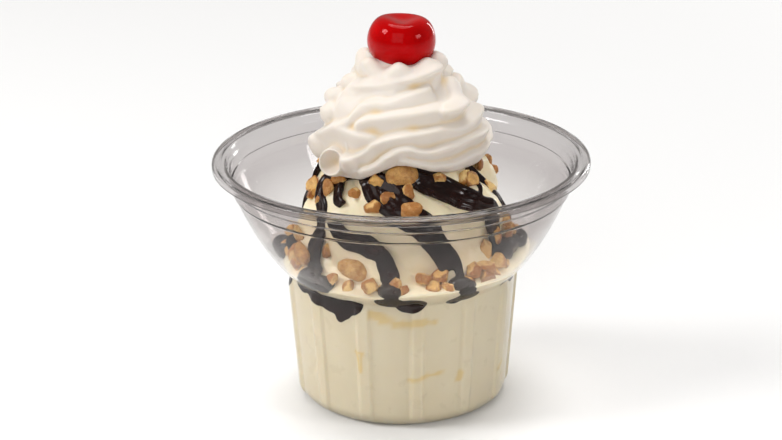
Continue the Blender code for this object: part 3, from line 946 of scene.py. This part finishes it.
def with_crests(points):
    """The points of the coil, with its front's crests drawn out: steep above each and slow to fall below."""
    azimuth = np.degrees(np.arctan2(points[:, 0], -points[:, 1]))
    depth = cream_radius(points[:, 2]) - np.hypot(points[:, 0], points[:, 1])
    found = np.zeros(len(points))
    for size, path in CREAM_CRESTS:
        rows = smooth_path(path, 80)
        level = np.interp(azimuth, rows[:, 0], rows[:, 1])
        slope = np.interp(azimuth, rows[:, 0], np.gradient(rows[:, 1]) / np.gradient(0.4 * rows[:, 0]))
        above = (points[:, 2] - level) / np.hypot(1, slope)
        fade = ease((azimuth - path[0][0] + 6) / 12) * ease((path[-1][0] + 6 - azimuth) / 12)
        fall = np.where(above > 0, (above / CREST_ABOVE) ** 2, (np.abs(above) / CREST_BELOW) ** 1.7)
        found = np.maximum(found, CREST_SCALE * size * fade * np.exp(-fall))
    middle, faces = curl_axis()
    away = points - middle
    beside = np.linalg.norm(away - np.outer(away @ faces, faces), axis=1)
    found *= front_share(azimuth) * ease((7 - depth) / 3) * ease((beside - 3.0) / 3.5)
    return points + found[:, None] * at(azimuth, 1.0, 0.2)


def bend_rings(half_width, path):
    """Rings along the part of the rope that turns upright."""
    rows = smooth_path(path, 64)
    centre = at(rows[:, 0], cream_radius(rows[:, 1]) - 0.85 * half_width, rows[:, 1])
    side, lift = frames(centre, rows[:, 0])
    share = np.linspace(-1, 1, len(rows))
    swell = half_width * np.sqrt(np.clip(1 - share**6, 0.08, 1))
    turn = np.linspace(0, math.tau, 20, endpoint=False)[None, :, None]
    section = side[:, None] * np.cos(turn) + lift[:, None] * np.sin(turn)
    return centre[:, None] + swell[:, None, None] * section


def lip_rings():
    """The wavy lip of cream round the cherry."""
    azimuth = np.arange(0, 360, 2.0)[:, None]
    turn = np.linspace(0, math.tau, 24, endpoint=False)[None, :]
    wave = np.cos(np.radians(LIP_WAVES * (azimuth + 4))) + 0.3 * np.sin(np.radians(3 * azimuth))
    out = LIP_RADIUS + 0.3 * wave + 2.9 * np.cos(turn)
    up = LIP_HEIGHT + 0.95 * wave + (3.0 + 0.3 * wave) * np.sin(turn)
    return at(azimuth, out, up)


def hollowed_curl(points):
    """The points of the coil, with the rolled end of the rope pressed in and its edge drawn out."""
    middle, faces = curl_axis()
    away = points - middle
    along = away @ faces
    across = np.linalg.norm(away - along[:, None] * faces, axis=1)
    near = (along > -2.5) & (across < 6)
    press = 4.8 * np.clip(1 - (across / CURL_HOLLOW) ** 2, 0, 1) ** 1.3
    edge = 1.1 * np.exp(-(((across - CURL_HOLLOW - 0.2) / 0.55) ** 2))
    return points + np.outer(near * (edge - press), faces)


def make_cream(material):
    rope = cream_rings()
    for depth, length in CREAM_WAVES:
        rope = rope + depth * waves(rope, length)
    parts = [closed_grid(rope), closed_grid(core_rings()), ring_part(lip_rings())]
    parts.append(closed_grid(bend_rings(*CREAM_BEND)))
    for azimuth, height, size, inside in CREAM_KNOBS:
        parts.append(ball(at(azimuth, cream_radius(height) - inside, height), (size, size, 0.9 * size)))
    middle, faces = curl_axis()
    parts.append(ball(middle - 1.0 * faces, (CURL_RADIUS, CURL_RADIUS, CURL_RADIUS)))
    obj = add_mesh("piped_cream", *gathered(parts), material)
    mesh = fused(obj, CREAM_VOXEL, 10)
    points = blurred(mesh, with_crests(points_of(mesh)), 2)
    points = hollowed_curl(points)
    points += 0.5 * waves(points, 8.0, 6.0)
    points[:, 2] = np.maximum(points[:, 2], CREAM_FOOT)
    set_points(mesh, points)
    # The cream's hollows, and a few listed spots, are painted warmer and darker: painted shade in the
    # creases.
    crease_shade = hollows(mesh, 30)
    for azimuth, height in SHADED_HOLLOWS:
        away = np.linalg.norm(points - at(azimuth, cream_radius(height) - 1.5, height), axis=1)
        crease_shade += 0.7 * np.exp(-((away / 2.0) ** 2))
    set_value(mesh, "hollow", crease_shade)
    return obj


def make_cherry(material):
    turns = np.linspace(0, 360, 128, endpoint=False)
    rise = np.radians(np.linspace(-89, 89, 72))[:, None]
    unit = at(turns[None, :], np.cos(rise), np.sin(rise))
    across = np.hypot(unit[..., 0], unit[..., 1]) / CHERRY_DIMPLE_WIDTH
    above = unit[..., 2] > 0
    dimple = CHERRY_DIMPLE * np.exp(-(across**2)) * above
    wide, deep = CHERRY_NOTCH_REACH
    aside = (unit[..., 0] / wide) ** 2 + ((unit[..., 1] + CHERRY_NOTCH_FRONT) / deep) ** 2
    notch = CHERRY_NOTCH * np.exp(-aside) * above
    swell = CHERRY_RADIUS * (1 + 0.02 * unit[..., 2])
    height = unit[..., 2] * np.where(above, CHERRY_SHOULDER, CHERRY_HALF_HEIGHT) - dimple - notch
    points = np.stack([unit[..., 0] * swell, unit[..., 1] * swell, height], -1)
    points = points + 0.15 * waves(points, 9.0, 3.0)
    lean, roll = (math.radians(angle) for angle in CHERRY_TILT_DEGREES)
    tilt = np.array(Matrix.Rotation(lean, 3, "X") @ Matrix.Rotation(roll, 3, "Y"))
    points = points @ tilt.T + np.array(CHERRY_CENTRE)
    return add_mesh("maraschino_cherry", *closed_grid(points), material)


# Materials.


class Look:
    """A material with one Principled shader, and the nodes that feed it."""

    def __init__(self, name):
        self.material = bpy.data.materials.new(name)
        self.material.use_nodes = True
        self.tree = self.material.node_tree
        self.shader = self.tree.nodes["Principled BSDF"]

    def set(self, **values):
        for name, value in values.items():
            self.shader.inputs[name.replace("_", " ")].default_value = value

    def node(self, kind, inputs=None, **settings):
        made = self.tree.nodes.new(kind)
        for name, value in settings.items():
            setattr(made, name, value)
        for name, value in (inputs or {}).items():
            if isinstance(value, bpy.types.NodeSocket):
                self.tree.links.new(value, made.inputs[name])
            else:
                made.inputs[name].default_value = value
        return made

    def noise(self, scale, detail=3.0, roughness=0.5):
        place = self.node("ShaderNodeTexCoord").outputs["Object"]
        inputs = {"Vector": place, "Scale": scale, "Detail": detail, "Roughness": roughness}
        return self.node("ShaderNodeTexNoise", inputs).outputs["Fac"]

    def height(self):
        place = self.node("ShaderNodeTexCoord").outputs["Object"]
        return self.node("ShaderNodeSeparateXYZ", {"Vector": place}).outputs["Z"]

    def value(self, name):
        return self.node("ShaderNodeAttribute", attribute_name=name).outputs["Fac"]

    def span(self, value, low, high, to_low=0.0, to_high=1.0):
        inputs = {"Value": value, "From Min": low, "From Max": high, "To Min": to_low, "To Max": to_high}
        return self.node("ShaderNodeMapRange", inputs).outputs["Result"]

    def mix(self, share, first, second):
        made = self.node("ShaderNodeMix", data_type="RGBA")
        for socket, value in zip((made.inputs[0], made.inputs[6], made.inputs[7]), (share, first, second)):
            if isinstance(value, bpy.types.NodeSocket):
                self.tree.links.new(value, socket)
            else:
                socket.default_value = (*value, 1.0) if isinstance(value, tuple) else value
        return made.outputs[2]

    def feed(self, name, value):
        self.tree.links.new(value, self.shader.inputs[name])

    def bump(self, height, distance, strength=1.0):
        made = self.node("ShaderNodeBump", {"Height": height, "Distance": distance, "Strength": strength})
        self.feed("Normal", made.outputs["Normal"])


def clear_plastic():
    look = Look("clear_plastic_look")
    look.set(IOR=1.3, Transmission_Weight=1.0)
    height = look.height()
    # The wall's colour is a light grey low down and darkens from the flare's middle up to the rim: painted
    # grey, standing in for dark reflections of the surroundings on the upper bowl.
    painted_grey = look.mix(look.span(height, 0.050, 0.064), (0.84, 0.82, 0.80), (0.59, 0.555, 0.548))
    look.feed("Base Color", look.mix(look.span(height, 0.0675, 0.0745), painted_grey, (0.61, 0.585, 0.58)))
    look.feed("Roughness", look.span(look.noise(60.0), 0.3, 0.7, 0.015, 0.06))
    look.bump(look.noise(90.0, 2.0), 0.00012, 0.35)
    clear = look.node("ShaderNodeBsdfTransparent", {"Color": (0.98, 0.975, 0.97, 1)})
    path = look.node("ShaderNodeLightPath").outputs["Is Shadow Ray"]
    mix = look.node("ShaderNodeMixShader", {"Fac": path})
    look.tree.links.new(look.shader.outputs[0], mix.inputs[1])
    look.tree.links.new(clear.outputs[0], mix.inputs[2])
    look.tree.links.new(mix.outputs[0], look.tree.nodes["Material Output"].inputs["Surface"])
    return look.material


def soft_serve_look():
    look = Look("soft_serve_look")
    look.set(IOR=1.42)
    look.set(Subsurface_Weight=0.25, Subsurface_Radius=(1.0, 0.72, 0.4), Subsurface_Scale=0.0025)
    patches = look.span(look.noise(90.0), 0.35, 0.65)
    height = look.height()
    # The filling down in the tube is painted darker and greyer than the mound above it: painted shade.
    tube = look.mix(patches, (0.735, 0.665, 0.50), (0.715, 0.64, 0.47))
    mound = look.mix(patches, (0.985, 0.87, 0.63), (0.975, 0.83, 0.565))
    # Streaks of darker yellow: painted shade of air pockets against the wall.
    streak = look.span(look.value("streak"), 0.0, 1.0, 0.0, 0.68)
    colour = look.mix(look.span(height, 0.040, 0.050), tube, mound)
    look.feed("Base Color", look.mix(streak, colour, (0.70, 0.52, 0.20)))
    look.feed("Roughness", look.span(look.noise(200.0), 0.3, 0.7, 0.24, 0.42))
    look.bump(look.noise(420.0, 4.0), 0.0003, 0.35)
    return look.material


def fudge_look():
    look = Look("hot_fudge_look")
    look.set(IOR=1.36)
    patches = look.span(look.noise(160.0), 0.35, 0.7)
    look.feed("Base Color", look.mix(patches, (0.006, 0.0015, 0.001), (0.02, 0.005, 0.003)))
    look.feed("Roughness", look.span(look.noise(260.0), 0.3, 0.7, 0.10, 0.24))
    look.bump(look.noise(300.0, 2.0), 0.0003, 0.25)
    return look.material


def peanut_look():
    look = Look("chopped_peanut_look")
    look.set(IOR=1.46)
    look.set(Subsurface_Weight=0.15, Subsurface_Radius=(1.0, 0.6, 0.3), Subsurface_Scale=0.0012)
    tone = look.value("tone")
    skin = look.mix(tone, (0.55, 0.24, 0.055), (0.33, 0.115, 0.025))
    flesh = look.mix(tone, (0.96, 0.68, 0.29), (0.82, 0.47, 0.14))
    mottle = look.span(look.noise(480.0, 5.0, 0.7), 0.3, 0.7, -0.55, 0.4)
    share = look.node("ShaderNodeMath", operation="ADD", use_clamp=True)
    look.tree.links.new(look.value("cut"), share.inputs[0])
    look.tree.links.new(mottle, share.inputs[1])
    look.feed("Base Color", look.mix(share.outputs[0], skin, flesh))
    look.feed("Roughness", look.span(look.noise(900.0), 0.3, 0.7, 0.22, 0.5))
    look.bump(look.noise(700.0, 5.0, 0.65), 0.0009, 0.9)
    return look.material


def cream_look():
    look = Look("piped_cream_look")
    look.set(IOR=1.4)
    look.set(Subsurface_Weight=0.35, Subsurface_Radius=(1.0, 0.8, 0.55), Subsurface_Scale=0.002)
    body = look.mix(look.span(look.noise(70.0), 0.35, 0.65), (0.80, 0.735, 0.67), (0.78, 0.715, 0.635))
    # Warmer, darker colour in the hollows: painted shade.
    crease_shade = look.span(look.value("hollow"), 0.15, 1.1)
    look.feed("Base Color", look.mix(crease_shade, body, (0.80, 0.62, 0.37)))
    look.feed("Roughness", look.span(look.noise(240.0), 0.3, 0.7, 0.42, 0.58))
    look.bump(look.noise(600.0, 3.0), 0.0002, 0.3)
    return look.material


def cherry_look():
    look = Look("maraschino_cherry_look")
    look.set(IOR=1.3, Specular_Tint=(1.0, 0.38, 0.40, 1.0))
    look.set(Subsurface_Weight=0.3, Subsurface_Radius=(1.0, 0.08, 0.06), Subsurface_Scale=0.003)
    patches = look.span(look.noise(120.0, 4.0), 0.35, 0.65)
    look.feed("Base Color", look.mix(patches, (0.50, 0.0002, 0.001), (0.37, 0.0001, 0.0006)))
    look.feed("Roughness", look.span(look.noise(200.0), 0.3, 0.7, 0.05, 0.11))
    look.bump(look.noise(260.0, 3.0), 0.0004, 0.12)
    return look.material


def floor_look():
    look = Look("floor_look")
    look.feed("Base Color", look.mix(look.noise(3.0), (0.86, 0.86, 0.86), (0.875, 0.875, 0.875)))
    look.feed("Roughness", look.span(look.noise(5.0), 0.3, 0.7, 0.85, 0.95))
    look.set(Specular_IOR_Level=0.1)
    return look.material


# The stage.


def area_light(name, place, target, size, watts, colour=(1.0, 1.0, 1.0)):
    data = bpy.data.lights.new(name, "AREA")
    data.shape = "RECTANGLE"
    data.size, data.size_y = size
    data.energy = watts
    data.color = colour
    lamp = bpy.data.objects.new(name, data)
    lamp.location = place
    lamp.rotation_euler = (Vector(target) - Vector(place)).to_track_quat("-Z", "Y").to_euler()
    bpy.context.scene.collection.objects.link(lamp)


def sun_light(name, lean_degrees, strength, spread_degrees):
    data = bpy.data.lights.new(name, "SUN")
    data.energy = strength
    data.angle = math.radians(spread_degrees)
    lamp = bpy.data.objects.new(name, data)
    lamp.rotation_euler = (math.radians(lean_degrees), 0, 0)
    bpy.context.scene.collection.objects.link(lamp)


def make_stage():
    turns = np.arange(0, 360, 10.0)
    points = np.vstack([at(turns, FLOOR_RADIUS, -FLOOR_DROP), [[0, 0, -FLOOR_DROP]]])
    faces = [(len(turns), here, (here + 1) % len(turns)) for here in range(len(turns))]
    floor = add_mesh("floor", points, faces, floor_look())
    world = bpy.data.worlds.new("soft_room")
    world.use_nodes = True
    world.node_tree.nodes["Background"].inputs["Color"].default_value = (1.0, 0.965, 0.92, 1)
    world.node_tree.nodes["Background"].inputs["Strength"].default_value = 0.26
    bpy.context.scene.world = world
    middle = (0.0, 0.0, 0.07)
    area_light("key", (-0.78, -0.16, 0.74), middle, (0.30, 0.30), 4.7)
    area_light("front", (-0.25, -0.95, 0.60), middle, (0.8, 0.8), 3.2)
    area_light("fill", (0.80, -0.36, 0.46), middle, (0.28, 0.16), 1.7)
    area_light("back_strip", (0.50, 0.75, 0.20), middle, (0.10, 0.45), 1.0)
    sun_light("ceiling", -16, 1.65, 40)
    bpy.context.scene.view_settings.view_transform = "Standard"


def make_camera():
    data = bpy.data.cameras.new("photo_camera")
    data.sensor_width = 36.0
    data.lens = CAMERA_LENS
    data.clip_start = 0.01
    camera = bpy.data.objects.new("photo_camera", data)
    place = Vector(CAMERA_PLACE)
    turn = (Vector(CAMERA_TARGET) - place).normalized().to_track_quat("-Z", "Y").to_matrix()
    for degrees, axis in zip(CAMERA_TURNS_DEGREES, "YXZ"):
        turn = turn @ Matrix.Rotation(math.radians(degrees), 3, axis)
    camera.matrix_world = Matrix.Translation(place) @ turn.to_4x4()
    bpy.context.scene.collection.objects.link(camera)
    bpy.context.scene.camera = camera


def main():
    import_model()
    noise.seed_set(NOISE_SEED)
    cup = make_cup(clear_plastic())
    serve = make_soft_serve(soft_serve_look())
    fudge = make_fudge(fudge_look())
    peanuts = make_peanuts(peanut_look())
    cream = make_cream(cream_look())
    cherry = make_cherry(cherry_look())
    replaced = (
        (cup, "cup", "clear_plastic"),
        (serve, "ice_cream", "soft_serve"),
        (fudge, "ice_cream", "soft_serve"),
        (peanuts, "ice_cream", "soft_serve"),
        (cream, "whipped_cream", "whipped_cream"),
        (cherry, "cherry", "cherry"),
    )
    for piece, node, slot in replaced:
        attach(piece, "root")
        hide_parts(node)
    make_stage()
    make_camera()


main()
